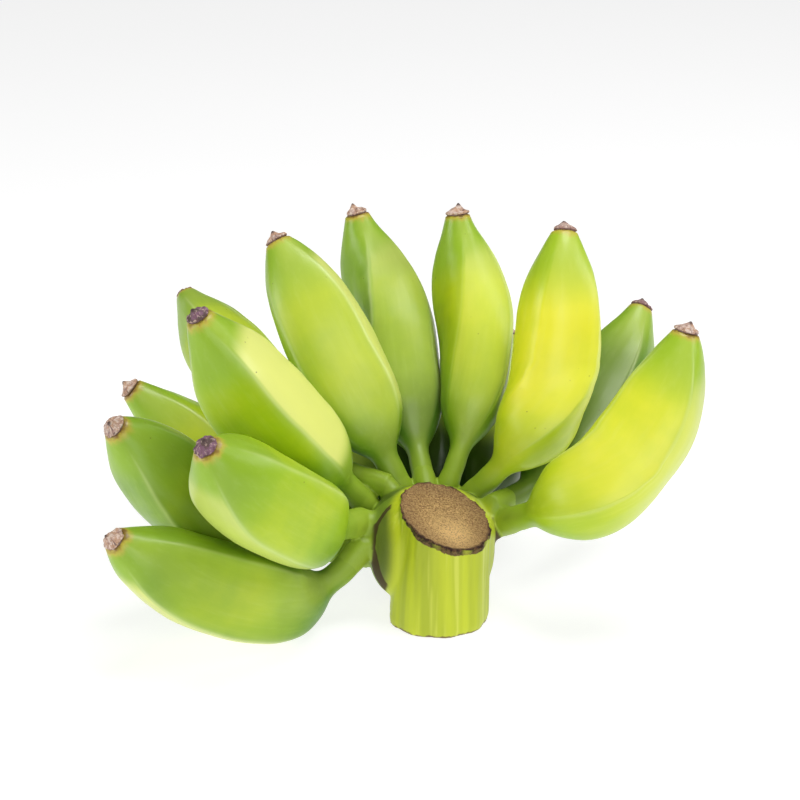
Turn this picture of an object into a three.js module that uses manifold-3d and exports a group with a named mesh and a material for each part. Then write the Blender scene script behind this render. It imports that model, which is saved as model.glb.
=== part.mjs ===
// A hand of short, plump cooking bananas on a cut length of its fruit stalk.
//
// The stalk stands on its lower cut face and a cushion, the crown, wraps round its back. Two rows of
// bananas grow from the crown on short pedicels: the upper row stands over the lower one.
// Millimetres, +Z up, +Y to the back. The origin is the centre of the stalk's lower cut face.

import * as THREE from "three";
import { mergeVertices } from "three/addons/utils/BufferGeometryUtils.js";
import Module from "manifold-3d";

const wasm = await Module();
wasm.setup();
const { Manifold, Mesh: SolidMesh } = wasm;

const stalk = {
  radius: 22.3, // at the foot
  topRadius: 20.3,
  lean: 2.6, // how far right the top stands
  flutes: 9, // soft upright ribs
  fluteDepth: 0.5,
  sides: 54,
  cutHeight: 50.5, // the upper cut, above the foot's centre
  cutFall: { right: 17.5, front: 18 }, // degrees the upper cut slopes down
  proud: 2.5, // how far the cut's rim stands above the crown beside it
};

const crown = {
  centre: new THREE.Vector3(-3, 9, 31),
  halfWidth: 28.5,
  halfDepth: 24,
  halfHeight: 26,
  fullness: 2.6, // 2 is an ellipsoid, more is boxier
  setBack: 2.5, // how far the cushion sits behind the ring of roots
};

// Each banana's stub is the part of its pedicel that belongs to the crown.
const stub = {
  overhang: { x: 6.5, y: 5 }, // how far it ends outside the crown's sides and back
  buried: 0.5, // where it starts, as a share of the way out from the crown's centre
  flare: 1.2, // thickness at its start against its end
  bends: 3,
};

const seam = 0.3; // clearance between neighbouring pieces

// A banana's radius along its length, both as shares: thin pedicel, quick shoulder, long belly, neck.
const outline = [
  [0.0, 0.285],
  [0.08, 0.28],
  [0.15, 0.32],
  [0.19, 0.49],
  [0.24, 0.74],
  [0.33, 0.93],
  [0.5, 1.0],
  [0.65, 0.98],
  [0.78, 0.86],
  [0.88, 0.65],
  [0.95, 0.43],
];
const tipRadius = 5.2; // every neck ends this thick, whatever the girth
const faces = { count: 4, ridge: 1.11, flat: 0.945 }; // the skin's reach on a ridge and mid-face
const rings = 15;
const sides = 16; // four for each face

// The dry flower scar that caps each tip: [radius, height] in millimetres. A low roof with a small
// style point.
const scar = [
  [0, 0],
  [4.9, 0],
  [5.4, 0.5],
  [5.2, 1.1],
  [3.3, 1.9],
  [1.6, 2.6],
  [1.2, 3.8],
  [0, 4.3],
];
const scarSides = 12;

// Directions are in degrees, seen from above: 0 points to the back and positive to the right.
// at: where the pedicel leaves the crown. heading: at the root, the middle and the tip.
// pitch: above the horizon, at the root, shoulder, belly and tip. rests: lies on the surface.
const bananas = [
  {
    name: "upper_1", peel: "peelGreen", rests: true, at: -105.5, lift: 32, length: 132, girth: 42, roll: 41,
    heading: [-120, -116, -126], pitch: [-46.5, 16, 31, 43.5],
  },
  {
    name: "upper_2", peel: "peelPale", at: -100, lift: 44, length: 122.5, girth: 44.5, roll: 52,
    heading: [-146, -145, -138.5], pitch: [10.5, 32, 40, 53],
  },
  {
    name: "upper_3", peel: "peelPale", at: -56.5, lift: 44, length: 135.5, girth: 40.5, roll: 88,
    heading: [-120.5, -129, -113.5], pitch: [50.5, 44, 54.5, 61.5],
  },
  {
    name: "upper_4", peel: "peelGreen", at: -45.3, lift: 54.1, length: 159.5, girth: 34, roll: 36,
    heading: [-69.5, -34.5, -21.5], pitch: [9.5, 31.5, 16, 12.5],
  },
  {
    name: "upper_5", peel: "peelGreen", at: -22.5, lift: 46.5, length: 128.5, girth: 42.5, roll: 7,
    heading: [-68, -55, -54], pitch: [62.5, 59.5, 57, 53.5],
  },
  {
    name: "upper_6", peel: "peelGreen", at: -4.5, lift: 50, length: 143.5, girth: 36, roll: 50,
    heading: [-10.5, -12, -72.5], pitch: [24, 47.5, 48, 79],
  },
  {
    name: "upper_7", peel: "peelPale", at: 12.5, lift: 49, length: 133.5, girth: 33.5, roll: 32,
    heading: [36.5, 1, -45], pitch: [52.5, 50, 52.5, 84.5],
  },
  {
    name: "upper_8", peel: "peelYellow", at: 34.5, lift: 47, length: 133, girth: 39.5, roll: 18,
    heading: [112, 26, 8.5], pitch: [48.5, 51.5, 83, 63],
  },
  {
    name: "upper_9", peel: "peelYellow", at: 82, lift: 41.5, length: 132.5, girth: 42, roll: 2,
    heading: [151.5, 65, 63], pitch: [28, 29, 59.5, 76.5],
  },
  {
    name: "lower_1", peel: "peelDeep", at: -76.5, lift: 25, length: 139.5, girth: 43, roll: 35,
    heading: [-75, -114.5, -132.5], pitch: [0.5, 24, 52, 44],
  },
  {
    name: "lower_2", peel: "peelGreen", at: -63.5, lift: 34.5, length: 138.5, girth: 36, roll: 36,
    heading: [-39, -69, -98], pitch: [-4, 11.5, 35.5, 45],
  },
  {
    name: "lower_3", peel: "peelGreen", at: -27, lift: 26, length: 130, girth: 38, roll: 70, rests: true,
    heading: [-20, -20, -20], pitch: [-25, 5, 34.5, 60],
  },
  {
    name: "lower_4", peel: "peelGreen", at: -5, lift: 36, length: 130, girth: 35, roll: 70,
    heading: [5, -8.5, -28], pitch: [-5, 23, 53.5, 70.5],
  },
  {
    name: "lower_5", peel: "peelGreen", at: 20, lift: 36, length: 117, girth: 34, roll: 35,
    heading: [29, 14, 0], pitch: [-5, 20, 44.5, 65],
  },
  {
    name: "lower_6", peel: "peelDeep", at: 62.5, lift: 46.5, length: 135, girth: 36.5, roll: 43,
    heading: [44, 38, 30.5], pitch: [0, 23.5, 42, 48.5],
  },
];

const radians = THREE.MathUtils.degToRad;
const { lerp, smoothstep, clamp } = THREE.MathUtils;

const materials = {
  peelYellow: { color: "#d9dd45", roughness: 0.4 },
  peelPale: { color: "#bcd14e", roughness: 0.42 },
  peelGreen: { color: "#9bbd42", roughness: 0.42 },
  peelDeep: { color: "#7da03c", roughness: 0.45 },
  stalkSkin: { color: "#b4c23a", roughness: 0.5 },
  flowerScar: { color: "#6b5140", roughness: 0.9 },
};

// ---- where things lie

// The value at share t of a list of evenly spaced knots.
function between(knots, t) {
  const place = clamp(t, 0, 1) * (knots.length - 1);
  const i = Math.min(Math.floor(place), knots.length - 2);
  return lerp(knots[i], knots[i + 1], place - i);
}

// Unit vector for a heading and a pitch.
function direction(heading, pitch) {
  const [a, p] = [radians(heading), radians(pitch)];
  return new THREE.Vector3(Math.sin(a) * Math.cos(p), Math.cos(a) * Math.cos(p), Math.sin(p));
}

// A point of a centre line with the two directions across it, one of them level.
function frameAlong(point, forward) {
  const right = new THREE.Vector3(forward.y, -forward.x, 0).normalize();
  const up = new THREE.Vector3().crossVectors(right, forward);
  return { point: point.clone(), forward: forward.clone(), right, up };
}

// Where a banana's own pedicel starts, just outside the crown.
function rootOf({ at, lift }) {
  const { centre, halfWidth, halfDepth } = crown;
  return new THREE.Vector3(
    centre.x + (halfWidth + stub.overhang.x) * Math.sin(radians(at)),
    centre.y + (halfDepth + stub.overhang.y) * Math.cos(radians(at)),
    lift,
  );
}

// A banana's centre line: walked in short steps from the root while heading and pitch turn.
function centreLine(banana, steps = 60) {
  const point = rootOf(banana);
  const frames = [];
  for (let i = 0; i <= steps; i++) {
    const t = i / steps;
    const forward = direction(between(banana.heading, t), between(banana.pitch, t));
    frames.push(frameAlong(point, forward));
    point.addScaledVector(forward, banana.length / steps);
  }
  return frames;
}

// The frame at share t of a centre line.
function frameAt(frames, t) {
  const place = clamp(t, 0, 1) * (frames.length - 1);
  const i = Math.min(Math.floor(place), frames.length - 2);
  const mix = (key) => frames[i][key].clone().lerp(frames[i + 1][key], place - i);
  return { point: mix("point"), right: mix("right").normalize(), up: mix("up").normalize() };
}

// ---- shapes

// Shared corners and no seams, so that the surface is closed.
function closed(geometry) {
  geometry.deleteAttribute("normal");
  geometry.deleteAttribute("uv");
  return mergeVertices(geometry, 1e-4);
}

// Moves every corner of a geometry with shift(corner).
function reshape(geometry, shift) {
  const position = geometry.getAttribute("position");
  const corner = new THREE.Vector3();
  for (let i = 0; i < position.count; i++) {
    shift(corner.fromBufferAttribute(position, i));
    position.setXYZ(i, corner.x, corner.y, corner.z);
  }
  return closed(geometry);
}

// Four faces: how far the skin lies from the centre at an angle, about 1 on average. A ridge rises
// where two faces meet.
function faced(angle) {
  const fromRidge = Math.abs(((angle / (2 * Math.PI)) * faces.count + 100.5) % 1 - 0.5) * 2;
  return faces.ridge - (faces.ridge - faces.flat) * Math.sin((fromRidge * Math.PI) / 2);
}

// A turned profile, bent along the banana's centre line and given its four faces. spare is the room
// left all round it.
function bananaGeometry(banana, frames, spare = 0) {
  const { girth, length } = banana;
  const skin = new THREE.SplineCurve([
    ...outline.map(([along, r]) => new THREE.Vector2((r * girth) / 2, along * length)),
    new THREE.Vector2(tipRadius, length),
  ]);
  const points = skin.getSpacedPoints(rings - 1);
  const profile = [new THREE.Vector2(0, points[0].y), ...points, new THREE.Vector2(0, points.at(-1).y)];
  return reshape(new THREE.LatheGeometry(profile, sides), (corner) => {
    const t = corner.y / length;
    const angle = Math.atan2(corner.x, corner.z);
    const ridged = smoothstep(t, 0.14, 0.4) * (1 - smoothstep(t, 0.8, 1));
    const across = Math.hypot(corner.x, corner.z);
    const radius = across > 0.01 ? across * lerp(1, faced(angle), ridged) + spare : 0;
    const turn = radians(banana.roll) - angle;
    const { point, right, up } = frameAt(frames, t);
    corner.copy(point).addScaledVector(frames[0].forward, t < 0.001 ? -spare : 0);
    corner.addScaledVector(right, radius * Math.cos(turn)).addScaledVector(up, radius * Math.sin(turn));
  });
}

// The flower scar, turned about the last piece of the centre line.
function scarGeometry(frames) {
  const { point, forward } = frames.at(-1);
  const profile = scar.map(([radius, height]) => new THREE.Vector2(radius, height));
  const geometry = new THREE.LatheGeometry(profile, scarSides);
  const turn = new THREE.Quaternion().setFromUnitVectors(new THREE.Vector3(0, 1, 0), forward);
  return reshape(geometry, (corner) => {
    corner.y += seam;
    corner.applyQuaternion(turn).add(point);
  });
}

function solid(geometry) {
  const { array } = geometry.getAttribute("position");
  return new Manifold(
    new SolidMesh({
      numProp: 3,
      vertProperties: Float32Array.from(array),
      triVerts: geometry.index.array,
    }),
  );
}

// The fluted stalk, up to a plane well above its cut.
function stalkSolid(height = 90) {
  const body = new THREE.CylinderGeometry(stalk.radius, stalk.radius, height, stalk.sides, 6);
  body.rotateX(Math.PI / 2).translate(0, 0, height / 2);
  return solid(
    reshape(body, (corner) => {
      const angle = Math.atan2(corner.y, corner.x);
      const flute = stalk.fluteDepth * Math.cos(stalk.flutes * angle);
      const share = corner.z / stalk.cutHeight;
      const radius = lerp(stalk.radius, stalk.topRadius, share) + flute;
      const scale = Math.hypot(corner.x, corner.y) > 1 ? radius / stalk.radius : 1;
      corner.set(corner.x * scale + stalk.lean * share, corner.y * scale, corner.z);
    }),
  );
}

function crownSolid() {
  const { centre, halfWidth, halfDepth, halfHeight, fullness, setBack } = crown;
  const ball = new THREE.SphereGeometry(1, 36, 20).rotateX(Math.PI / 2);
  return solid(
    reshape(ball, (corner) => {
      const sum = corner.toArray().reduce((total, side) => total + Math.abs(side) ** fullness, 0);
      corner.multiplyScalar(sum ** (-1 / fullness));
      corner.multiply(new THREE.Vector3(halfWidth, halfDepth, halfHeight)).add(centre);
      corner.y += setBack;
    }),
  );
}

// A stub curves out of the crown and meets its banana face to face.
function stubSolid(banana, frames) {
  const { point: root, forward } = frames[0];
  const start = crown.centre.clone().lerp(root, stub.buried);
  const end = root.clone().addScaledVector(forward, -seam);
  const bend = end.clone().addScaledVector(forward, -root.distanceTo(start) * 0.4);
  const line = new THREE.QuadraticBezierCurve3(start, bend, end);
  const pedicel = (outline[0][1] * banana.girth) / 2;
  const ring = (t) => {
    const { point, right, up } = frameAlong(line.getPoint(t), line.getTangent(t));
    const radius = pedicel * lerp(stub.flare, 1, t);
    return Array.from({ length: sides }, (_, i) => {
      const turn = radians(banana.roll) - (i / sides) * 2 * Math.PI;
      const rim = point.clone();
      rim.addScaledVector(right, radius * Math.cos(turn)).addScaledVector(up, radius * Math.sin(turn));
      return rim.toArray();
    });
  };
  const parts = Array.from({ length: stub.bends }, (_, i) =>
    Manifold.hull([...ring(i / stub.bends), ...ring((i + 1) / stub.bends)]),
  );
  return Manifold.union(parts).trimByPlane(forward.clone().negate().toArray(), -forward.dot(end));
}

// The stalk, the crown and all the stubs grown together, under the sloping upper cut.
function handBase(stubs, rooms) {
  const [right, front] = [radians(stalk.cutFall.right), radians(stalk.cutFall.front)];
  const above = new THREE.Vector3(Math.tan(right), -Math.tan(front), 1).normalize();
  const offset = above.z * stalk.cutHeight;
  const trimmed = stalkSolid().trimByPlane(above.clone().negate().toArray(), -offset);
  const clear = Manifold.cylinder(60, stalk.topRadius - 0.5, stalk.topRadius + 28, stalk.sides)
    .translate([stalk.lean, 0, stalk.cutHeight - 15])
    .trimByPlane(above.toArray(), offset - stalk.proud);
  const back = Manifold.union([crownSolid(), ...stubs]).subtract(clear);
  const whole = Manifold.union([trimmed, back]).subtract(Manifold.union(rooms));
  const largest = whole.decompose().sort((a, b) => b.volume() - a.volume())[0];
  const { vertProperties, triVerts } = largest.getMesh();
  const geometry = new THREE.BufferGeometry();
  geometry.setAttribute("position", new THREE.BufferAttribute(vertProperties, 3));
  geometry.setIndex(new THREE.BufferAttribute(triVerts, 1));
  return geometry;
}

// ---- the hand

const hand = new THREE.Group();
hand.name = "banana_hand";

function add(name, geometry, look) {
  geometry.computeVertexNormals();
  const material = new THREE.MeshStandardMaterial({ name: look, metalness: 0, ...materials[look] });
  const mesh = new THREE.Mesh(geometry, material);
  mesh.name = name;
  hand.add(mesh);
}

// A banana that rests on the surface grows from just the height that lets its belly touch it.
function settle(banana) {
  if (!banana.rests) return banana;
  const geometry = bananaGeometry(banana, centreLine(banana));
  geometry.computeBoundingBox();
  return { ...banana, lift: banana.lift - geometry.boundingBox.min.z };
}

const grown = bananas.map(settle).map((banana) => ({ banana, frames: centreLine(banana) }));

const stubs = grown.map(({ banana, frames }) => stubSolid(banana, frames));
const rooms = grown.map(({ banana, frames }) => solid(bananaGeometry(banana, frames, seam * 0.95)));
add("stalk", handBase(stubs, rooms), "stalkSkin");
for (const { banana, frames } of grown) {
  add(banana.name, bananaGeometry(banana, frames), banana.peel);
  add(`${banana.name}_flower_scar`, scarGeometry(frames), "flowerScar");
}

export default hand;
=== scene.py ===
import math

import bpy
import numpy as np
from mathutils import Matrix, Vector, noise


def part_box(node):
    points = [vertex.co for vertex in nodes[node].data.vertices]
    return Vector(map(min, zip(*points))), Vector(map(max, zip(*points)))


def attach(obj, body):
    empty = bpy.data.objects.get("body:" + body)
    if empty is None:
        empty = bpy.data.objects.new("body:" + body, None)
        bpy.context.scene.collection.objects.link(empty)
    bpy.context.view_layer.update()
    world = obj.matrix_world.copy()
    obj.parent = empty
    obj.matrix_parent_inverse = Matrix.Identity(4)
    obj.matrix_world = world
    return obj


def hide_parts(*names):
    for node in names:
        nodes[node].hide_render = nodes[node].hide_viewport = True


# a hand of short cooking bananas on its cut stalk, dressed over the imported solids
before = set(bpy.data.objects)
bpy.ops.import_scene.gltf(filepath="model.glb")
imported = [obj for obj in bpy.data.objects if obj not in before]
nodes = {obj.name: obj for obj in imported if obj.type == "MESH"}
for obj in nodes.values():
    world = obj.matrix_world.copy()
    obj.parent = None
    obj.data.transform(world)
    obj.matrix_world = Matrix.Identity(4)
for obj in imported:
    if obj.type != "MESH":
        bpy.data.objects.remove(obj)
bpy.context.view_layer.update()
scarOf = {name: name + "_flower_scar" for name in sorted(nodes) if name + "_flower_scar" in nodes}
print("frame:", len(nodes), "solids,", len(scarOf), "bananas")


# one output of a node: arithmetic on it adds Math nodes, and make() adds any other node
class Wire:
    def __init__(self, tree, socket):
        self.tree = tree
        self.socket = socket

    def make(self, kind, settings=None, inputs=None, output=0):
        node = self.tree.nodes.new(kind)
        for key, value in (settings or {}).items():
            if key == "stops":
                while len(node.color_ramp.elements) < len(value):
                    node.color_ramp.elements.new(0.5)
                for stop, (position, shade) in zip(node.color_ramp.elements, value):
                    stop.position, stop.color = position, shade
            else:
                setattr(node, key, value)
        for key, value in (inputs or {}).items():
            if isinstance(value, Wire):
                self.tree.links.new(value.socket, node.inputs[key])
            else:
                node.inputs[key].default_value = value
        return Wire(self.tree, node.outputs[output])

    def maths(self, operation, *values):
        return self.make("ShaderNodeMath", {"operation": operation}, dict(enumerate(values)))

    def __add__(self, other):
        return self.maths("ADD", self, other)

    def __radd__(self, other):
        return self.maths("ADD", other, self)

    def __sub__(self, other):
        return self.maths("SUBTRACT", self, other)

    def __rsub__(self, other):
        return self.maths("SUBTRACT", other, self)

    def __mul__(self, other):
        return self.maths("MULTIPLY", self, other)

    def __rmul__(self, other):
        return self.maths("MULTIPLY", other, self)

    def clamped(self):
        return self.make("ShaderNodeClamp", {}, {0: self})

    # 0 below low and 1 above high, with a soft step between; low may be above high
    def step(self, low, high):
        settings = {"interpolation_type": "SMOOTHSTEP"}
        return self.make("ShaderNodeMapRange", settings, {0: self, 1: low, 2: high, 3: 0.0, 4: 1.0})

    def blend(self, first, second):
        inputs = {0: self, 6: first, 7: second}
        return self.make("ShaderNodeMix", {"data_type": "RGBA"}, inputs, 2)

    def stretched(self, scale):
        inputs = {0: self, 1: scale}
        return self.make("ShaderNodeVectorMath", {"operation": "MULTIPLY"}, inputs)

    def noise(self, scale, detail=2.0, roughness=0.5):
        inputs = {"Vector": self, "Scale": scale, "Detail": detail, "Roughness": roughness}
        return self.make("ShaderNodeTexNoise", {}, inputs)

    def attribute(self, name, output="Fac"):
        return self.make("ShaderNodeAttribute", {"attribute_name": name}, {}, output)

    def place(self):
        return self.make("ShaderNodeTexCoord", {}, {}, "Object")


# a screen colour, 0 to 255, as the linear values that a shader wants
def tone(red, green, blue):
    linear = [c / 12.92 if c <= 0.04045 else ((c + 0.055) / 1.055) ** 2.4
              for c in (red / 255, green / 255, blue / 255)]
    return (*linear, 1.0)


def newMaterial(name):
    material = bpy.data.materials.new(name)
    material.use_nodes = True
    shader = material.node_tree.nodes["Principled BSDF"]
    return material, shader, Wire(material.node_tree, shader.outputs[0])


def connect(wire, shader, links):
    for name, source in links.items():
        wire.tree.links.new(source.socket, shader.inputs[name])


def smoothstep(low, high, value):
    share = np.clip((value - low) / (high - low), 0, 1)
    return share * share * (3 - 2 * share)


# a smooth curve through rows of values: cubic pieces whose slopes come from the neighbours
def throughPoints(places, values, at):
    slopes = np.gradient(values, places, axis=0)
    i = np.clip(np.searchsorted(places, at, side="right") - 1, 0, len(places) - 2)
    width = places[i + 1] - places[i]
    t = (at - places[i]) / width
    if values.ndim > 1:
        t, width = t[:, None], width[:, None]
    return ((2 * t**3 - 3 * t**2 + 1) * values[i] + (t**3 - 2 * t**2 + t) * width * slopes[i]
            + (3 * t**2 - 2 * t**3) * values[i + 1] + (t**3 - t**2) * width * slopes[i + 1])


def unit(vectors):
    return vectors / np.linalg.norm(vectors, axis=-1, keepdims=True)


# even, repeatable unevenness, about -1 to 1
def ripple(points, scale, shift=(0, 0, 0)):
    moved = np.asarray(points) * scale + np.asarray(shift)
    return np.array([noise.noise(Vector(point)) for point in moved]) * 1.6


# a smooth piece that stands for one solid, with values of its own at each corner
def buildPiece(name, points, faces, material, replaces, attributes):
    mesh = bpy.data.meshes.new(name)
    mesh.from_pydata([tuple(point) for point in points], [], faces)
    mesh.validate()
    mesh.update()
    for key, values in attributes.items():
        values = np.asarray(values, dtype=np.float32)
        kind = "FLOAT_VECTOR" if values.ndim > 1 else "FLOAT"
        layer = mesh.attributes.new(key, kind, "POINT")
        layer.data.foreach_set("vector" if values.ndim > 1 else "value", values.ravel())
    mesh.polygons.foreach_set("use_smooth", [True] * len(mesh.polygons))
    mesh.materials.append(material)
    piece = bpy.data.objects.new(name, mesh)
    bpy.context.scene.collection.objects.link(piece)
    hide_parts(replaces)
    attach(piece, "root")


# a tube of quads, closed by a fan at each end on the two middle points that follow its rings
def tubeFaces(rows, columns):
    faces = [(row * columns + column, row * columns + (column + 1) % columns,
              (row + 1) * columns + (column + 1) % columns, (row + 1) * columns + column)
             for row in range(rows - 1) for column in range(columns)]
    first, last = rows * columns, rows * columns + 1
    end = (rows - 1) * columns
    faces += [(first, (column + 1) % columns, column) for column in range(columns)]
    faces += [(last, end + column, end + (column + 1) % columns) for column in range(columns)]
    return [face[::-1] for face in faces]


# a solid's corners, each once, and its faces as rows of corner numbers
def weld(mesh):
    corners = np.empty(len(mesh.vertices) * 3)
    mesh.vertices.foreach_get("co", corners)
    corners = corners.reshape(-1, 3)
    _, first, number = np.unique(np.round(corners * 1e6), axis=0, return_index=True, return_inverse=True)
    number = number.ravel()
    return corners[first], [[int(number[v]) for v in face.vertices] for face in mesh.polygons]


stalkMiddle = (Vector(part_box("stalk")[0]) + Vector(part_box("stalk")[1])) / 2


# walks a solid from the pedicel's end to the tip, one ring of corners at a time
def readBanana(name):
    corners, faces = weld(nodes[name].data)
    links = [set() for _ in corners]
    for face in faces:
        for corner in face:
            links[corner].update(face)
    for corner, near in enumerate(links):
        near.discard(corner)
    widest = max(len(near) for near in links)
    poles = [corner for corner, near in enumerate(links) if len(near) == widest]
    start = min(poles, key=lambda corner: (Vector(corners[corner]) - stalkMiddle).length)
    seen, level, rings = {start}, links[start], []
    while len(level) > 1:
        rings.append(corners[sorted(level)])
        seen |= level
        level = set().union(*(links[corner] for corner in level)) - seen
    centres = np.array([ring.mean(axis=0) for ring in rings])
    places = np.concatenate([[0], np.cumsum(np.linalg.norm(np.diff(centres, axis=0), axis=1))])
    radii = np.array([np.linalg.norm(ring - centre, axis=1).mean()
                      for ring, centre in zip(rings, centres)])
    forward = unit(np.gradient(centres, places, axis=0))
    right = unit(np.stack([forward[:, 1], -forward[:, 0], 0 * forward[:, 0]], axis=1))
    up = np.cross(right, forward)
    fourfold = 0j  # the rings bulge towards the ridges, four times a turn
    for k in range(len(rings) // 3, 2 * len(rings) // 3):
        out = rings[k] - centres[k]
        turn = np.arctan2(out @ up[k], out @ right[k])
        reach = np.linalg.norm(out, axis=1)
        fourfold += ((reach - reach.mean()) * np.exp(4j * turn)).sum()
    return {"centres": centres, "places": places, "radii": radii, "length": places[-1],
            "ridge": np.angle(fourfold) / 4}


bodies = {name: readBanana(name) for name in scarOf}
print("centre lines read:", {name: round(body["length"] * 1000) for name, body in bodies.items()})


# the centre line's points and the three directions there, also a little before its start
def stations(body, at):
    inside = np.clip(at, 0, body["length"])
    points = throughPoints(body["places"], body["centres"], inside)
    step = body["length"] * 0.004   # the direction is taken across this much either side
    ahead = throughPoints(body["places"], body["centres"], np.clip(inside + step, 0, body["length"]))
    behind = throughPoints(body["places"], body["centres"], np.clip(inside - step, 0, body["length"]))
    forward = unit(ahead - behind)
    right = unit(np.stack([forward[:, 1], -forward[:, 0], 0 * forward[:, 0]], axis=1))
    up = np.cross(right, forward)
    return points + forward * (at - inside)[:, None], forward, right, up


peel = {
    "around": 120, "rows": 150,
    "crowd": 0.6, "endRows": 0.035,               # columns crowd at the ridges, rows at the ends
    "buried": 0.004,                              # metres that it starts inside its stub
    "rootFrom": 0.0012, "rootTuck": 0.0012,       # where it starts to thin there, and by how much
    "tipFrom": 0.988, "tipTuck": 0.55,            # the tip closes under the scar
    "ridge": 1.125, "flat": 0.940,                # reach on a ridge and in the middle of a face
    "crest": 0.035,                               # softness of the ridge itself
    "ridgesRise": (0.14, 0.40), "ridgesFade": (0.80, 1.0),       # where along it they come and go
    "ridgeSway": 0.045, "fineSway": 0.020, "ridgeUneven": 0.22,  # how they wander, and differ in strength
    "crestLine": 0.055, "crestGlow": 0.20, "toneBlend": 0.14,    # widths, as shares of half a face
    "lumps": 0.0004, "lumpScale": 45.0,           # slow unevenness, in metres
    "ribs": 0.00006, "ribScale": 330.0,           # and fine ribs along the peel
    "seedShift": 0.31,
    "ripeAndLitSide": (0.22, -0.72, 0.66),               # the faces that look this way ripen first, partly real and partly painted light
    "sunFlatness": 0.75, "paleFlatness": 0.95,    # 1 gives a whole face one tone, 0 lets it turn
    "paleEnds": 0.45,                             # how much of the painted highlight is left at the two ends
    # among these colours are a painted shade, a painted highlight and painted bounce light
    "deepGreen": tone(94, 140, 34), "green": tone(154, 190, 28), "yellowGreen": tone(206, 222, 22),
    "yellow": tone(252, 246, 40), "neck": tone(158, 194, 50), "hollow": tone(32, 58, 16),
    "pedicel": tone(150, 178, 50), "paleLine": tone(228, 240, 168), "paintedHighlightTone": tone(240, 242, 140),
    "paintedBounceTone": tone(192, 218, 96), "tipYellow": tone(206, 178, 74), "tipBrown": tone(132, 92, 52),
    "freckle": tone(96, 84, 40),
    # how much of each colour is laid on where it shows; the second is a painted highlight and the third
    # painted bounce light on the faces turned away
    "share": {"neck": 0.76, "paintedHighlight": 0.22, "under": 0.30, "ridgeLine": 0.20, "ridgePatches": 0.40,
              "streaks": 0.05, "pedicel": 0.85, "tipYellow": 0.75, "tipBrown": 0.85, "freckle": 0.55},
    # what ripens the peel from deep green, 0, to yellow, 1, and how strongly; the yellowing towards one
    # side is partly real ripening and partly painted light
    "ripens": {"start": 0.48, "belly": 0.36, "sun": 0.42, "broad": 0.42, "cloud": 0.16, "streaks": 0.06},
    "roughness": 0.36, "gloss": 0.38, "coat": 0.05, "coatRoughness": 0.20,
    "bump": 0.16, "bumpDepth": 0.0006,
    # lower_6's value below 0 is partly painted shade
    "ripeness": {
        "upper_1": 0.30, "upper_2": 0.42, "upper_3": 0.46, "upper_4": 0.46, "upper_5": 0.46,
        "upper_6": 0.26, "upper_7": 0.54, "upper_8": 0.90, "upper_9": 0.74, "lower_1": 0.30,
        "lower_2": 0.56, "lower_3": 0.40, "lower_4": 0.40, "lower_5": 0.45, "lower_6": -0.15,
    },
    # painted shade where the bananas at the back leave the crown, and over most of lower_6: dark up to,
    # clear from, how dark
    "paintedShadeNecks": {
        "lower_3": (0.34, 0.60, 0.50), "lower_4": (0.34, 0.60, 0.90), "lower_5": (0.34, 0.60, 0.90),
        "lower_6": (0.45, 1.00, 0.45),
    },
    # faces with a painted highlight: the ones that look this way, and how pale they are
    "paintedHighlightSides": {
        "upper_1": ((-0.55, -0.25, -0.80), 0.68), "upper_2": ((-0.75, -0.35, -0.55), 0.42),
        "upper_3": ((0.75, -0.10, 0.65), 0.85), "upper_5": ((0.95, 0.10, 0.30), 0.70),
        "upper_6": ((0.98, 0.10, 0.20), 0.40), "upper_7": ((0.98, 0.15, 0.10), 0.45),
        "upper_9": ((0.90, 0.35, -0.20), 0.40), "lower_1": ((0.10, 0.10, 0.98), 0.30),
    },
    # ridges that are nearly rounded away: the one that looks most this way, and how much of it is left
    "wornRidges": {"upper_7": ((-0.35, -0.92, 0.15), 0.35), "upper_8": ((-0.60, -0.78, 0.10), 0.15)},
}


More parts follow.
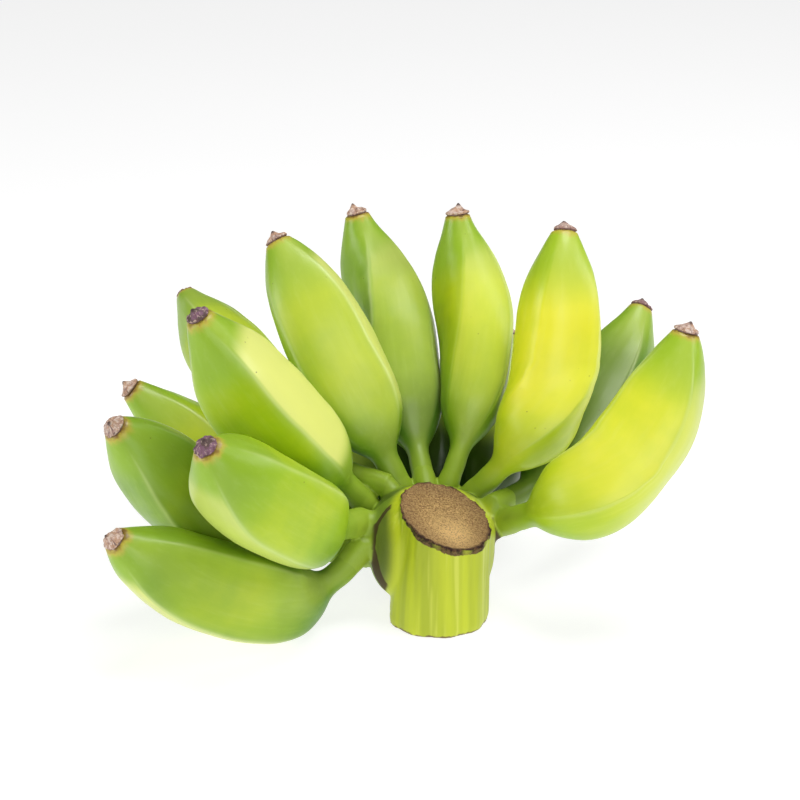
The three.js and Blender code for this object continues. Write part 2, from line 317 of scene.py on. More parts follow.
def peelMaterial(name):
    material, shader, wire = newMaterial("peel_" + name)
    skin = wire.attribute("skinPlace", "Vector")   # the banana straightened out, in metres
    along = wire.attribute("along")                # 0 at the crown, 1 at the tip
    ridge = wire.attribute("ridge")
    sunny = wire.attribute("sunny")                # 0 on the faces turned away, 1 on the side that ripens first and gets painted light
    share, ripens = peel["share"], peel["ripens"]
    broad = skin.noise(26.0, 2.0)
    cloud = skin.noise(110.0, 3.0, 0.55)
    streaks = skin.stretched((1.0, 1.0, 0.10)).noise(420.0, 4.0, 0.6)
    fine = skin.stretched((1.0, 1.0, 0.25)).noise(1500.0, 3.0)
    belly = along.step(0.16, 0.50) * along.step(0.96, 0.72)
    # one side yellows more, partly real ripening and partly painted light
    ripe = (peel["ripeness"][name] - ripens["start"] + belly * ripens["belly"]
            + (sunny - 0.5) * ripens["sun"] + (broad - 0.5) * ripens["broad"]
            + (cloud - 0.5) * ripens["cloud"] + (streaks - 0.5) * ripens["streaks"]).clamped()
    stops = [(0.0, peel["deepGreen"]), (0.32, peel["green"]),
             (0.66, peel["yellowGreen"]), (1.0, peel["yellow"])]
    body = ripe.make("ShaderNodeValToRGB", {"stops": stops}, {"Fac": ripe})
    body = (along.step(0.70, 0.93) * share["neck"]).blend(body, peel["neck"])
    # a painted highlight on the faces that look most towards the lit side
    body = (sunny.step(0.80, 0.98) * share["paintedHighlight"]).blend(body, peel["paintedHighlightTone"])
    # painted bounce light on the faces turned away from the lit side
    body = (sunny.step(0.30, 0.05) * share["under"]).blend(body, peel["paintedBounceTone"])
    # a painted highlight on the faces listed for this banana
    if name in peel["paintedHighlightSides"]:
        paleness = peel["paintedHighlightSides"][name][1]
        body = (wire.attribute("pale").step(0.60, 0.92) * paleness).blend(body, peel["paintedHighlightTone"])
    crest = ridge * (share["ridgeLine"] + broad * share["ridgePatches"])
    body = (crest * along.step(0.14, 0.30) * along.step(0.985, 0.90)).blend(body, peel["paleLine"])
    body = (streaks.step(0.46, 0.76) * share["streaks"]).blend(body, peel["paleLine"])
    stem = along.step(0.20, 0.06)
    body = (stem * share["pedicel"]).blend(body, peel["pedicel"])
    # painted shade on the necks of the bananas at the back
    if name in peel["paintedShadeNecks"]:
        dark, clear, strength = peel["paintedShadeNecks"][name]
        body = (along.step(clear, dark) * strength).blend(body, peel["hollow"])
    # a narrow, broken fringe of yellow and brown just under the dry scar
    fringe = along + (streaks - 0.5) * 0.030 + (cloud - 0.5) * 0.030
    body = (fringe.step(0.966, 0.992) * share["tipYellow"]).blend(body, peel["tipYellow"])
    body = (fringe.step(0.984, 1.0) * share["tipBrown"]).blend(body, peel["tipBrown"])
    specks = skin.make("ShaderNodeTexVoronoi", {}, {"Vector": skin, "Scale": 260.0}, "Distance")
    freckled = specks.step(0.13, 0.07) * skin.noise(90.0, 1.0).step(0.62, 0.72)
    body = (freckled * share["freckle"]).blend(body, peel["freckle"])
    rough = peel["roughness"] + (fine - 0.5) * 0.10 + stem * 0.14 + (broad - 0.5) * 0.10
    height = streaks * 0.25 + fine * 0.20 + broad * 0.8 + cloud * 0.35
    relief = {"Strength": peel["bump"], "Distance": peel["bumpDepth"], "Height": height}
    bump = height.make("ShaderNodeBump", {}, relief)
    connect(wire, shader, {"Base Color": body, "Roughness": rough.clamped(), "Normal": bump})
    shader.inputs["Specular IOR Level"].default_value = peel["gloss"]
    shader.inputs["Coat Weight"].default_value = peel["coat"]
    shader.inputs["Coat Roughness"].default_value = peel["coatRoughness"]
    return material


# a banana's peel over its solid's own centre line and girth, with four faces between soft ridges
def growBanana(name, body, seed):
    around, rows, length = peel["around"], peel["rows"], body["length"]
    share = np.linspace(0, 1, rows)
    share = share - peel["endRows"] * np.sin(2 * np.pi * share)
    at = -peel["buried"] + share * (length + peel["buried"])
    points, _, right, up = stations(body, at)
    inside = np.clip(at, 0, length)
    radius = throughPoints(body["places"], body["radii"], inside)
    radius = radius - smoothstep(peel["rootFrom"], -peel["buried"], at) * peel["rootTuck"]
    radius = radius * (1 - peel["tipTuck"] * smoothstep(length * peel["tipFrom"], length, at) ** 2)
    t = inside / length   # 0 at the crown, 1 at the tip
    ridged = smoothstep(*peel["ridgesRise"], t) * (1 - smoothstep(*peel["ridgesFade"], t))
    turns = np.arange(around) / around * 2 * np.pi
    turns = turns - peel["crowd"] * np.sin(4 * turns) / 4 + body["ridge"]
    wander = peel["ridgeSway"] * np.sin(t * 5 + seed * 1.7) + peel["fineSway"] * np.sin(t * 13 + seed)
    angle = turns[None, :] + 0 * at[:, None]
    ridgePlace = (angle - body["ridge"] + wander[:, None]) / (np.pi / 2)   # a whole number on each ridge
    which = np.floor(ridgePlace + 0.5)
    fromRidge = np.abs(ridgePlace - which) * 2
    soft = np.sqrt(fromRidge**2 + peel["crest"]**2) - peel["crest"] * 0.6
    strong = 1 + peel["ridgeUneven"] * np.sin(which * 2.1 + seed * 2.3)
    if name in peel["wornRidges"]:
        way, left = peel["wornRidges"][name]
        middle = np.abs(at - length / 2).argmin()
        looks = [right[middle] @ way * np.cos(a) + up[middle] @ way * np.sin(a)
                 for a in body["ridge"] + np.arange(4) * np.pi / 2]
        strong = np.where(which % 4 == int(np.argmax(looks)), left, strong)
    towardsRidge = (1 - np.sin(np.clip(soft, 0, 1) * np.pi / 2)) * strong
    faced = peel["flat"] + (peel["ridge"] - peel["flat"]) * towardsRidge
    reach = radius[:, None] * (1 + (faced - 1) * ridged[:, None])
    x, y = reach * np.cos(angle), reach * np.sin(angle)
    # the peel laid out straight, moved so that no two bananas share a pattern
    shift = seed * peel["seedShift"]
    skinPlace = np.stack([x, y, at[:, None] + 0 * x], axis=-1).reshape(-1, 3) + shift
    lumps = ripple(skinPlace, peel["lumpScale"]).reshape(rows, around) * peel["lumps"]
    ribs = ripple(skinPlace * (1, 1, 0.12), peel["ribScale"]).reshape(rows, around) * peel["ribs"]
    grow = 1 + (lumps * (0.25 + ridged[:, None]) + ribs) / np.maximum(reach, 0.004)
    x, y = x * grow, y * grow
    grid = points[:, None] + right[:, None] * x[..., None] + up[:, None] * y[..., None]
    corners = np.concatenate([grid.reshape(-1, 3), points[:1], points[-1:]])
    crestLine = np.exp(-(fromRidge / peel["crestLine"]) ** 2)
    crestGlow = np.exp(-(fromRidge / peel["crestGlow"]) ** 2)
    ridge = np.clip(strong, 0, 1.2) * (0.75 * crestLine + 0.25 * crestGlow) * ridged[:, None]
    # each face has its own tone, from the way it looks, and they meet on the ridges; the ripening side
    # and the painted highlights are laid out this way
    side = np.where(ridgePlace > which, 0.5, -0.5)
    own = 0.5 + 0.5 * smoothstep(0, peel["toneBlend"], fromRidge)

    def faceTone(way, flatness):
        way = unit(np.array(way))
        towards = np.stack([right @ way, up @ way], axis=1)
        flat = 0
        for step, weight in ((side, own), (-side, 1 - own)):
            middle = (which + step) * np.pi / 2 + body["ridge"] - wander[:, None]
            flat = flat + weight * (np.cos(middle) * towards[:, :1] + np.sin(middle) * towards[:, 1:])
        rounded = np.cos(angle) * towards[:, :1] + np.sin(angle) * towards[:, 1:]
        return 0.5 + 0.5 * (rounded + (flat - rounded) * flatness * ridged[:, None])

    ends = np.array([[0, 0, at[0]], [0, 0, at[-1]]]) + shift
    attributes = {
        "skinPlace": np.concatenate([skinPlace, ends]),
        "along": np.concatenate([np.repeat(t, around), [0, 1]]),
        "ridge": np.concatenate([ridge.ravel(), [0, 0]]),
        "sunny": np.concatenate([faceTone(peel["ripeAndLitSide"], peel["sunFlatness"]).ravel(), [0.5, 0.5]]),
    }
    # where the painted highlight lies, fainter at the two ends
    if name in peel["paintedHighlightSides"]:
        fade = peel["paleEnds"] + (1 - peel["paleEnds"]) * ridged[:, None]
        pale = faceTone(peel["paintedHighlightSides"][name][0], peel["paleFlatness"]) * fade
        attributes["pale"] = np.concatenate([pale.ravel(), [0, 0]])
    faces = tubeFaces(rows, around)
    buildPiece(name + "_peel", corners, faces, peelMaterial(name), name, attributes)


for number, (name, body) in enumerate(bodies.items()):
    growBanana(name, body, number + 1)
print("bananas grown:", len(bodies))


scar = {
    "around": 96, "radius": 0.0051, "lift": 0.0003, "ragged": 0.00050, "underside": -0.0009,
    "style": 0.0018, "styleRadius": 0.0014,       # height and radius of the dried style
    "styleOff": 0.0009,                           # how far it stands off the middle
    "flakes": 0.00045, "flakeScale": 420.0, "crackDepth": 0.0003, "crackWidth": 0.17,
    "bark": tone(186, 156, 142), "pale": tone(226, 206, 192), "crack": tone(104, 72, 72),
    "plum": tone(116, 80, 112), "tan": tone(196, 156, 128), "dark": tone(58, 42, 46),
    "share": {"pale": 0.85, "pits": 0.8, "cracks": 0.8, "rim": 0.75, "style": 0.85},
    "dusk": {"upper_2": 0.85, "upper_3": 0.85, "upper_8": 0.35, "lower_6": 0.6},   # the purple ones
    "gloss": 0.3, "bump": 0.5, "bumpDepth": 0.0006,
    # share of the radius, then millimetres above the peel, from the skirt to the top
    "profile": [
        (0.86, -1.0), (0.96, -0.95), (1.00, -0.6), (1.03, -0.3), (1.04, 0.0), (1.01, 0.30), (0.95, 0.55),
        (0.87, 0.78), (0.79, 1.00), (0.70, 1.22), (0.61, 1.44), (0.52, 1.65), (0.43, 1.85), (0.34, 2.02),
        (0.25, 2.16), (0.17, 2.25), (0.08, 2.3),
    ],
}


def scarMaterial(name):
    material, shader, wire = newMaterial("flower_scar_" + name)
    place = wire.place()
    crumbs = place.noise(620.0, 4.0, 0.6)
    patches = place.noise(260.0, 2.0)
    edge, style, crack = wire.attribute("edge"), wire.attribute("style"), wire.attribute("crack")
    share, dusk = scar["share"], scar["dusk"].get(name, 0.0)
    bark = patches.step(0.40, 0.62).blend(scar["bark"], scar["tan"])
    bark = (crumbs.step(0.48, 0.60) * share["pale"]).blend(bark, scar["pale"])
    dusky = patches.step(0.42, 0.56).blend(scar["dark"], scar["plum"])
    dusky = crumbs.step(0.52, 0.64).blend(dusky, scar["bark"])
    bark = (patches.step(0.75 - dusk, 0.85 - dusk) * dusk).blend(bark, dusky)
    bark = (crumbs.step(0.42, 0.32) * share["pits"]).blend(bark, scar["crack"])
    bark = (crack.step(0.35, 0.80) * crumbs.step(0.36, 0.56) * share["cracks"]).blend(bark, scar["crack"])
    bark = (edge.step(0.3, 0.9) * share["rim"]).blend(bark, scar["crack"])
    bark = (style.step(0.35, 0.85) * share["style"]).blend(bark, scar["dark"])
    height = crumbs + patches * 0.5
    relief = {"Strength": scar["bump"], "Distance": scar["bumpDepth"], "Height": height}
    bump = height.make("ShaderNodeBump", {}, relief)
    connect(wire, shader, {"Base Color": bark, "Roughness": 0.55 + crumbs * 0.35, "Normal": bump})
    shader.inputs["Specular IOR Level"].default_value = scar["gloss"]
    return material


# a ragged low roof over the tip, cracked outwards, with the dried style standing off its middle
def growScar(name, body, seed):
    around = scar["around"]
    tip, forward, right, up = (row[0] for row in stations(body, np.array([body["length"]])))
    turns = np.arange(around) / around * 2 * np.pi
    size = scar["radius"] * (0.97 + 0.04 * math.sin(seed * 3.1))
    circle = np.stack([np.cos(turns), np.sin(turns), 0 * turns + seed * 5.3], axis=1)
    ragged = scar["ragged"] * (ripple(circle, 1.6) + 0.7 * ripple(circle, 5.0))
    fissure = smoothstep(scar["crackWidth"], 0.02, np.abs(ripple(circle, 2.4, (4, 1, 8))))
    styleTurn = 1.2 + seed * 2.4
    styleX, styleY = math.cos(styleTurn) * scar["styleOff"], math.sin(styleTurn) * scar["styleOff"]
    rings, edges, styles, cracks = [], [], [], []
    for reach, lift in scar["profile"]:
        radius = size * reach + ragged * min(1, reach) ** 2 * (lift > -0.7)
        x, y = radius * np.cos(turns), radius * np.sin(turns)
        crack = fissure * smoothstep(0.15, 0.5, reach) * smoothstep(-0.4, 0.4, lift)
        place = np.stack([x, y, lift * 0.001 + 0 * x + seed], axis=1)
        rough = ripple(place, scar["flakeScale"]) * scar["flakes"]
        fromStyle = (x - styleX) ** 2 + (y - styleY) ** 2
        near = np.exp(-fromStyle / scar["styleRadius"] ** 2) * (lift > 1)
        z = lift * 0.001 + scar["lift"] + rough * (0.2 if lift < 0 else 1.0)
        z = z + near * scar["style"] - crack * scar["crackDepth"]
        rings.append(tip + right * x[:, None] + up * y[:, None] + forward * z[:, None])
        edges.append(np.full(around, smoothstep(0.0, -0.5, lift)))
        styles.append(near)
        cracks.append(crack)
    under = tip + forward * (scar["lift"] + scar["underside"])
    peak = scar["style"] * math.exp(-(scar["styleOff"] / scar["styleRadius"]) ** 2)
    top = tip + forward * (scar["lift"] + scar["profile"][-1][1] * 0.001 + peak)
    corners = np.concatenate([*rings, [under], [top]])
    attributes = {key: np.concatenate([*values, [0, 0]])
                  for key, values in (("edge", edges), ("style", styles), ("crack", cracks))}
    faces = tubeFaces(len(scar["profile"]), around)
    buildPiece(name + "_scar", corners, faces, scarMaterial(name), scarOf[name], attributes)


for number, (name, body) in enumerate(bodies.items()):
    growScar(name, body, number + 1)
print("flower scars grown")


stalk = {
    "voxel": 0.0007, "webRounds": 24,             # more rounds draw the webs deeper
    # metres along the pedicel that the crown runs out over it, and how thick it is there
    "sleeve": 0.015, "sleeveBack": 0.006, "sleeveFrom": 0.001, "sleeveNear": 0.018,
    "sleeveOver": 0.00035, "sleeveUnder": 0.0007,
    # metres behind the pedicel where its stub is looked for, and where its colour fades
    "stubBack": 0.022, "stubNear": 0.020, "stubFade": (-0.021, -0.007), "stubEdge": (0.0035, 0.0005),
    "stubKept": 0.8,                              # how far the stubs keep their shape
    "behind": 0.012,                              # past this the crown's hollows get painted shade
    "cutSkin": 0.0009,                            # this near a cut, a point belongs to it
    # metres over which the smoothing comes in, off the cut, the foot and the sleeves
    "cutEdge": (0.0004, 0.0035), "footEdge": (0.0004, 0.003), "webEdge": (0.0005, 0.0020),
    "sleeveHold": (0.0011, 0.0003),               # this near a sleeve, the skin is laid back on it
    "ribs": 0.00025, "fibre": 0.00016, "dish": 0.0006, "raggedRim": 0.0007,
    "footRough": 0.0002, "footTuck": 0.0004,
    "skin": tone(208, 220, 46), "skinLight": tone(230, 236, 98), "skinShade": tone(182, 196, 42),
    # the last crown colour and the first colour on the next row are painted shade: in the fillet at the
    # crown's front and deep between the pedicels
    "crown": tone(132, 160, 52), "crownDeep": tone(98, 122, 46), "crownFrontShade": tone(98, 112, 48),
    "hollow": tone(54, 76, 28), "line": tone(72, 50, 30),
    "pith": tone(192, 156, 100), "pithLight": tone(240, 198, 134), "pithDark": tone(140, 104, 64),
    "rim": tone(112, 80, 56), "rimDark": tone(58, 38, 32),
    # the brown line round the crown's front edge: where y - z * rise - x * turn reaches the offset
    "lineRise": 0.24, "lineTurn": 0.20, "lineAt": -0.0052, "lineWidth": 0.0016, "lineWobble": 0.0022,
    # the burnt band under the upper cut is deeper at the front
    "rimBand": 0.0005, "rimFront": 0.0020, "frontWay": (0.35, -0.94),
    "glowAt": (0.004, -0.009), "glowSize": 0.0095,     # the lighter patch on the cut, from its middle
    # how much of each colour is laid on where it shows; the fourth and fifth lay on painted shade
    "share": {"light": 0.6, "threads": 0.12, "crown": 0.95, "front": 0.8, "hollow": 0.7,
              "stub": 0.85, "line": 0.92, "strings": 0.55, "clumps": 0.15, "glow": 0.75,
              "towardsRim": 0.45, "pits": 0.6, "rim": 0.8, "burnt": 0.95, "foot": 0.85},
    "gloss": 0.4, "bump": 0.35, "bumpDepth": 0.0008,
}


# the upper cut is the largest flat part of the stalk that looks up
def cutPlane():
    corners, faces = weld(nodes["stalk"].data)
    found = {}
    for face in faces:
        a, b, c = corners[face[0]], corners[face[1]], corners[face[2]]
        normal = np.cross(b - a, c - a)
        area = np.linalg.norm(normal)
        if area > 1e-12 and normal[2] / area > 0.5:
            key = (*np.round(normal / area, 2), round(float(a @ normal / area), 4))
            total, owned = found.get(key, (0, []))
            found[key] = (total + area, owned + [face])
    _, owned = max(found.values(), key=lambda entry: entry[0])
    used = corners[sorted({corner for face in owned for corner in face})]
    a, b, c = (corners[i] for i in max(owned, key=lambda f: np.linalg.norm(
        np.cross(corners[f[1]] - corners[f[0]], corners[f[2]] - corners[f[0]]))))
    normal = unit(np.cross(b - a, c - a))
    middle = (used.min(axis=0) + used.max(axis=0)) / 2
    middle[2] = a[2] - ((middle[0] - a[0]) * normal[0] + (middle[1] - a[1]) * normal[1]) / normal[2]
    rim = np.linalg.norm((used - middle)[:, :2], axis=1).max()
    return normal, middle, rim


cutNormal, cutMiddle, cutRadius = cutPlane()
print("upper cut:", np.round(cutMiddle * 1000, 1), "radius", round(cutRadius * 1000, 1))


# the pedicel's first stretch, a little thicker, so that the crown runs out along it and thins away
def sleeveLine(body, count):
    at = np.linspace(-stalk["sleeveBack"], stalk["sleeve"], count)
    line, forward, right, up = stations(body, at)
    radius = throughPoints(body["places"], body["radii"], np.clip(at, 0, body["length"]))
    thinned = smoothstep(stalk["sleeveFrom"], stalk["sleeve"], at)
    over = stalk["sleeveOver"] - (stalk["sleeveOver"] + stalk["sleeveUnder"]) * thinned
    return line, forward, right, up, radius + over


def sleeveMesh(body, rows=20, columns=28):
    line, _, right, up, radius = sleeveLine(body, rows)
    turns = np.arange(columns) / columns * 2 * np.pi
    grid = (line[:, None] + right[:, None] * (radius[:, None] * np.cos(turns))[..., None]
            + up[:, None] * (radius[:, None] * np.sin(turns))[..., None])
    return np.concatenate([grid.reshape(-1, 3), line[:1], line[-1:]]), tubeFaces(rows, columns)


# how far each point lies outside the nearest pedicel's sleeve, and where the sleeve's skin would be
def sleeveReach(points, count=70):
    outside = np.full(len(points), 1.0)
    onSleeve = points.copy()
    for body in bodies.values():
        line, forward, _, _, radius = sleeveLine(body, count)
        near = np.flatnonzero(np.linalg.norm(points - line[count // 3 + 1], axis=1) < stalk["sleeveNear"])
        k = np.linalg.norm(points[near][:, None] - line[None], axis=2).argmin(axis=1)
        out = points[near] - line[k]
        out = out - forward[k] * (out * forward[k]).sum(axis=1)[:, None]
        reach = np.linalg.norm(out, axis=1)
        extra = np.where((k > 0) & (k < count - 1), reach - radius[k], 1.0)
        better = extra < outside[near]
        chosen = near[better]
        outside[chosen] = extra[better]
        skin = points[near] - out + out * (radius[k] / np.maximum(reach, 1e-6))[:, None]
        onSleeve[chosen] = skin[better]
    return outside, onSleeve


# 1 on the stubs just behind the pedicels, and less and less back to where the crown takes over
def stubShare(points, count=40):
    found = np.zeros(len(points))
    for body in bodies.values():
        at = np.linspace(-stalk["stubBack"], 0.0, count)
        line = stations(body, at)[0]
        near = np.flatnonzero(np.linalg.norm(points - line[count // 2], axis=1) < stalk["stubNear"])
        apart = np.linalg.norm(points[near][:, None] - line[None], axis=2)
        outside = apart.min(axis=1) - body["radii"][0]
        here = smoothstep(*stalk["stubEdge"], outside)
        here = here * smoothstep(*stalk["stubFade"], at[apart.argmin(axis=1)])
        found[near] = np.maximum(found[near], here)
    return found


# the solid and the sleeves as one even skin
def remeshedStalk():
    corners, faces = weld(nodes["stalk"].data)
    corners, faces = [corners], [tuple(face) for face in faces]
    count = len(corners[0])
    for body in bodies.values():
        more, moreFaces = sleeveMesh(body)
        faces += [tuple(corner + count for corner in face) for face in moreFaces]
        corners.append(more)
        count += len(more)
    mesh = bpy.data.meshes.new("stalkSource")
    mesh.from_pydata([tuple(corner) for corner in np.concatenate(corners)], [], faces)
    source = bpy.data.objects.new("stalkSource", mesh)
    bpy.context.scene.collection.objects.link(source)
    remesh = source.modifiers.new("voxels", "REMESH")
    remesh.mode, remesh.voxel_size = "VOXEL", stalk["voxel"]
    bpy.context.view_layer.update()
    made = bpy.data.meshes.new_from_object(source.evaluated_get(bpy.context.evaluated_depsgraph_get()))
    bpy.data.objects.remove(source)
    bpy.data.meshes.remove(mesh)
    points = np.empty(len(made.vertices) * 3)
    made.vertices.foreach_get("co", points)
    quads = [tuple(face.vertices) for face in made.polygons]
    bpy.data.meshes.remove(made)
    return points.reshape(-1, 3), quads


# evens a mesh out: each point moves towards the middle of its neighbours, by its own weight
def relax(points, pairs, weight, rounds):
    number = np.bincount(pairs.ravel(), minlength=len(points))[:, None]
    for _ in range(rounds):
        total = np.zeros_like(points)
        np.add.at(total, pairs[:, 0], points[pairs[:, 1]])
        np.add.at(total, pairs[:, 1], points[pairs[:, 0]])
        points = points + (total / number - points) * weight[:, None]
    return points


# the stalk and crown: evened out, drawn into webs between the pedicels, then cut and roughened
def growStalk():
    points, quads = remeshedStalk()
    pairs = np.array(sorted({tuple(sorted((face[k], face[(k + 1) % len(face)])))
                             for face in quads for k in range(len(face))}))
    below = (cutMiddle - points) @ cutNormal            # depth under the upper cut
    across = points[:, :2] - cutMiddle[:2] * np.clip(points[:, 2:3] / cutMiddle[2], 0, 1)
    share = np.linalg.norm(across, axis=1) / cutRadius  # 1 on the rim
    onCut = (below < stalk["cutSkin"]) & (share < 1.06)
    onFoot = points[:, 2] < stalk["cutSkin"]
    # the cuts' edges stay sharp; off the pedicels and their stubs the skin draws into webs
    fromCut = smoothstep(*stalk["cutEdge"], below) + (share > 1.1)
    weight = 0.5 * np.clip(np.minimum(fromCut, smoothstep(*stalk["footEdge"], points[:, 2])), 0, 1)
    outside, _ = sleeveReach(points)
    web = smoothstep(*stalk["webEdge"], outside) * (1 - stalk["stubKept"] * stubShare(points))
    points = relax(points, pairs, weight * (0.25 + 0.75 * web), 5)
    points = relax(points, pairs, weight * web * smoothstep(1.03, 1.15, share), stalk["webRounds"])
    outside, onSleeve = sleeveReach(points)
    hold = smoothstep(*stalk["sleeveHold"], outside) * (below > 0.003)
    points = points + (onSleeve - points) * hold[:, None]
    points = relax(points, pairs, weight * 0.6, 2)
    # both cuts are made flat again, then get their own roughness
    depth = (cutMiddle - points) @ cutNormal
    points[onCut] += cutNormal * depth[onCut][:, None]
    points[onFoot, 2] = 0
    turn = np.arctan2(across[:, 1], across[:, 0])
    circle = np.stack([np.cos(turn), np.sin(turn), points[:, 2] * 6], axis=1)
    out = np.concatenate([unit(across + 1e-9), np.zeros((len(points), 1))], axis=1)
    side = (share > 0.9) & ~onCut & ~onFoot
    ribs = ripple(circle, 5.0) * stalk["ribs"] + ripple(circle, 13.0, (3, 1, 0)) * stalk["ribs"] * 0.4
    points += out * (ribs * side * smoothstep(1.35, 1.05, share))[:, None]
    fibre = ripple(points, 900.0) * 0.6 + ripple(points, 380.0, (5, 0, 2)) * 0.7
    edge = smoothstep(0.84, 0.97, share)
    rise = fibre * stalk["fibre"] * (1 + edge * 1.2) - stalk["dish"] * (1 - edge)
    points[onCut] += cutNormal * rise[onCut, None]
    nearRim = edge * smoothstep(0.003, 0.0006, np.abs(below)) * (share < 1.1)
    points += out * (nearRim * stalk["raggedRim"] * ripple(circle, 9.0, (7, 2, 1)))[:, None]
    foot = smoothstep(0.0035, 0.0, points[:, 2]) * (share > 0.9)
    worn = stalk["footRough"] * ripple(circle, 6.0, (1, 9, 4)) - stalk["footTuck"]
    points += out * (foot * worn)[:, None]
    outside, _ = sleeveReach(points)
    toFront = unit(across + 1e-9) @ unit(np.array(stalk["frontWay"]))
    fromGlow = points[:, :2] - cutMiddle[:2] - np.array(stalk["glowAt"])
    behind = points[:, 1] > stalk["behind"]
    attributes = {
        "cut": smoothstep(0.0013, 0.0004, below) * (share < 1.08),
        "share": share,
        "grown": smoothstep(1.06, 1.30, share),         # 0 on the stalk's own side, 1 on the crown
        "depth": np.clip(below, 0, 0.05),
        "band": stalk["rimBand"] + stalk["rimFront"] * smoothstep(-0.3, 0.6, toFront),
        "glow": np.exp(-((fromGlow / stalk["glowSize"]) ** 2).sum(axis=1)),
        "sleeve": smoothstep(0.0014, 0.0005, outside),
        "stub": stubShare(points),
        # painted shade in the crown's hollows at the back, off the pedicels
        "hollow": smoothstep(0.0008, 0.0035, outside) * smoothstep(1.12, 1.35, share) * behind,
    }
    buildPiece("stalk_and_crown", points, quads, stalkMaterial(), "stalk", attributes)


# striped skin, darker crown with its brown line, painted shade in the crown's front fillet and back
# hollows, stringy cut with a burnt edge, dry foot
def stalkMaterial():
    material, shader, wire = newMaterial("stalk_and_crown_skin")
    place = wire.place()
    share, grown, cut = wire.attribute("share"), wire.attribute("grown"), wire.attribute("cut")
    depth, band, glow = wire.attribute("depth"), wire.attribute("band"), wire.attribute("glow")
    sleeve, stub, hollow = wire.attribute("sleeve"), wire.attribute("stub"), wire.attribute("hollow")
    laid = stalk["share"]
    across = place.make("ShaderNodeSeparateXYZ", {}, {0: place}, 0)
    back = place.make("ShaderNodeSeparateXYZ", {}, {0: place}, 1)
    up = place.make("ShaderNodeSeparateXYZ", {}, {0: place}, 2)
    stripes = place.stretched((1.0, 1.0, 0.03)).noise(105.0, 2.0, 0.5)
    bands = place.stretched((1.0, 1.0, 0.04)).noise(260.0, 2.0, 0.5)
    threads = place.stretched((1.0, 1.0, 0.06)).noise(900.0, 3.0, 0.6)
    broad = place.noise(45.0, 2.0)
    skin = stripes.step(0.36, 0.60).blend(stalk["skinShade"], stalk["skin"])
    skin = (bands.step(0.52, 0.70) * laid["light"]).blend(skin, stalk["skinLight"])
    skin = (threads.step(0.50, 0.70) * laid["threads"]).blend(skin, stalk["skinShade"])
    crown = broad.step(0.30, 0.70).blend(stalk["crown"], stalk["crownDeep"])
    wobble = (place.noise(150.0, 2.0) - 0.5) * stalk["lineWobble"]
    past = back - up * stalk["lineRise"] - across * stalk["lineTurn"] - stalk["lineAt"] + wobble
    # painted shade on the concave fillet in front of the brown line
    crown = (past.step(0.001, -0.002) * laid["front"]).blend(crown, stalk["crownFrontShade"])
    # painted shade deep in the hollows between the pedicels
    crown = (hollow * laid["hollow"]).blend(crown, stalk["hollow"])
    crown = (stub * laid["stub"]).blend(crown, peel["pedicel"])
    crown = sleeve.blend(crown, peel["pedicel"])
    body = (grown * laid["crown"]).blend(skin, crown)
    # low down the line runs on to the crown's back
    behind = up.step(0.046, 0.026) * 0.005 + stalk["lineWidth"]
    line = past.step(-stalk["lineWidth"], -stalk["lineWidth"] * 0.5) * (behind - past).step(0.0, 0.0005)
    line = line * grown.step(0.25, 0.6) * (1 - sleeve) * share.step(1.56, 1.46)
    body = (line * laid["line"]).blend(body, stalk["line"])
    # the stringy inside at the upper cut, and the bark-brown edge round it
    strings = place.noise(1300.0, 4.0, 0.65)
    clumps = place.noise(420.0, 2.0)
    pith = strings.step(0.36, 0.62).blend(stalk["pithDark"], stalk["pith"])
    light = strings.step(0.54, 0.70) * laid["strings"] + clumps.step(0.5, 0.7) * laid["clumps"]
    pith = light.blend(pith, stalk["pithLight"])
    pith = (glow * laid["glow"]).blend(pith, stalk["pithLight"])
    pith = (share.step(0.35, 0.95) * (1 - glow) * laid["towardsRim"]).blend(pith, stalk["rim"])
    pith = (strings.step(0.47, 0.36) * laid["pits"]).blend(pith, stalk["rim"])
    rimNoise = (place.noise(420.0, 4.0, 0.65) - 0.5) * 0.10
    rim = share + rimNoise + (band - stalk["rimBand"]) * 16
    pith = (rim.step(0.915, 0.955) * laid["rim"]).blend(pith, stalk["rim"])
    pith = rim.step(0.95, 0.99).blend(pith, stalk["rimDark"])
    body = cut.step(0.3, 0.7).blend(body, pith)
    ragged = place.noise(560.0, 4.0, 0.7)
    burnt = (band - depth + (ragged - 0.46) * 0.0018).step(-0.0001, 0.0003)
    burnt = burnt * share.step(1.14, 1.08) * share.step(0.93, 0.965) * (1 - stub) * (1 - sleeve)
    scorched = ragged.step(0.44, 0.58).blend(stalk["rimDark"], stalk["rim"])
    body = (burnt * laid["burnt"]).blend(body, scorched)
    footEdge = (up + (place.noise(300.0, 3.0) - 0.5) * 0.004).step(0.0011, 0.0003)
    body = (footEdge * laid["foot"]).blend(body, stalk["rim"])
    rough = 0.44 + (stripes - 0.5) * 0.1 + cut * 0.4 + burnt * 0.35 + line * 0.3
    height = threads * 0.3 + stripes * 0.5 + bands * 0.4 + cut * strings * 3.0 + burnt * ragged * 2.0
    relief = {"Strength": stalk["bump"], "Distance": stalk["bumpDepth"], "Height": height}
    bump = height.make("ShaderNodeBump", {}, relief)
    connect(wire, shader, {"Base Color": body, "Roughness": rough.clamped(), "Normal": bump})
    shader.inputs["Specular IOR Level"].default_value = stalk["gloss"]
    return material


growStalk()
print("stalk and crown grown")


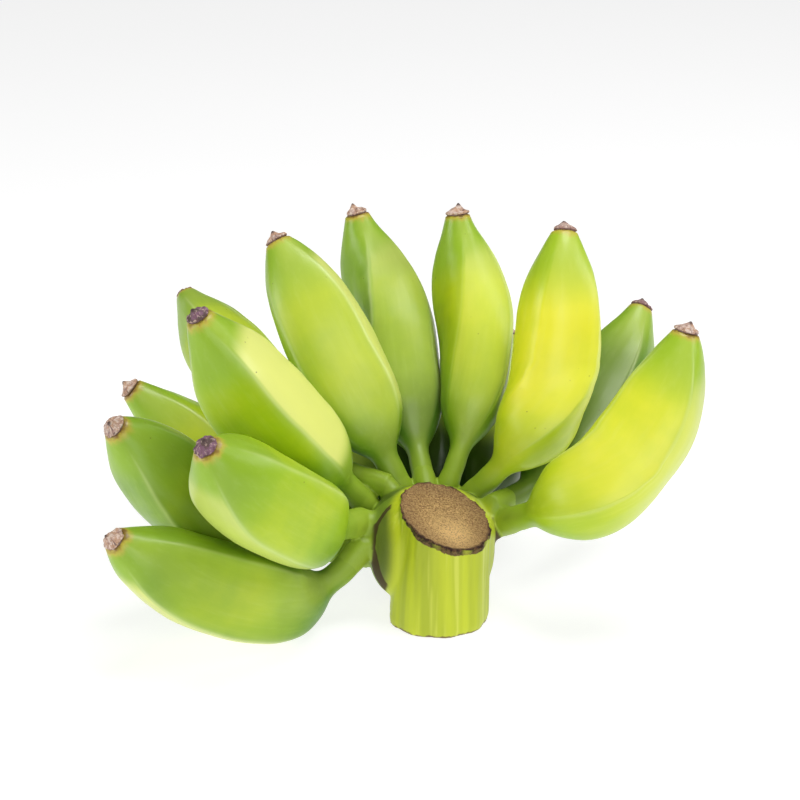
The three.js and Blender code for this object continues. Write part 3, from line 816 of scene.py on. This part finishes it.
studio = {
    "floor": tone(165, 165, 165), "floorGlow": 0.80, "roomBack": 1.30, "roomFront": 0.36, "exposure": 0.0,
    "floorPatches": tone(160, 160, 160), "floorDrop": 0.0002,
    "camera": (-0.0171, -1.0003, 0.4680), "target": (-0.0171, 0.0334, 0.0918),
    "lens": 110.0, "sensor": 36.0, "lightsAim": (0, 0.03, 0.06),
    "lights": [
        # name, place, size, watts
        ("overhead", (0.25, 0.10, 1.30), 0.8, 11.0),
        ("left", (-1.20, -0.35, 0.45), 0.7, 6.5),
        ("right", (1.20, -0.10, 0.80), 0.7, 5.5),
        ("front", (0.15, -1.40, 0.55), 1.0, 6.5),
    ],
}


def buildFloor():
    material, shader, wire = newMaterial("floor_white")
    place = wire.place()
    grey = place.noise(3.0, 2.0).blend(studio["floor"], studio["floorPatches"])
    connect(wire, shader, {"Base Color": grey})
    shader.inputs["Roughness"].default_value = 0.9
    shader.inputs["Emission Color"].default_value = (1, 1, 1, 1)
    shader.inputs["Emission Strength"].default_value = studio["floorGlow"]
    mesh = bpy.data.meshes.new("floor")
    mesh.from_pydata([(-6, -4, 0), (6, -4, 0), (6, 10, 0), (-6, 10, 0)], [], [(0, 1, 2, 3)])
    mesh.materials.append(material)
    floor = bpy.data.objects.new("floor", mesh)
    bpy.context.scene.collection.objects.link(floor)
    floor.location.z = -studio["floorDrop"]


def buildLights():
    target = Vector(studio["lightsAim"])
    for name, place, size, watts in studio["lights"]:
        light = bpy.data.lights.new(name, "AREA")
        light.shape, light.size, light.energy = "DISK", size, watts
        lamp = bpy.data.objects.new(name, light)
        lamp.location = place
        lamp.rotation_euler = (target - Vector(place)).to_track_quat("-Z", "Y").to_euler()
        bpy.context.scene.collection.objects.link(lamp)
    # a white room, brighter behind the object than in front of it
    world = bpy.data.worlds.new("white_room")
    world.use_nodes = True
    background = world.node_tree.nodes["Background"]
    wire = Wire(world.node_tree, background.outputs[0])
    around = wire.make("ShaderNodeTexCoord", {}, {}, "Generated")
    back = wire.make("ShaderNodeSeparateXYZ", {}, {0: around}, 1)
    strength = studio["roomFront"] + back.step(-0.3, 0.6) * (studio["roomBack"] - studio["roomFront"])
    world.node_tree.links.new(strength.socket, background.inputs["Strength"])
    bpy.context.scene.world = world


def buildCamera():
    lens = bpy.data.cameras.new("camera")
    lens.lens = studio["lens"]
    lens.sensor_width = lens.sensor_height = studio["sensor"]
    camera = bpy.data.objects.new("camera", lens)
    camera.location = studio["camera"]
    aim = Vector(studio["target"]) - Vector(studio["camera"])
    camera.rotation_euler = aim.to_track_quat("-Z", "Y").to_euler()
    bpy.context.scene.collection.objects.link(camera)
    bpy.context.scene.camera = camera


buildFloor()
buildLights()
buildCamera()
bpy.context.scene.view_settings.view_transform = "Standard"
bpy.context.scene.view_settings.exposure = studio["exposure"]
print("studio ready")

bpy.context.view_layer.update()
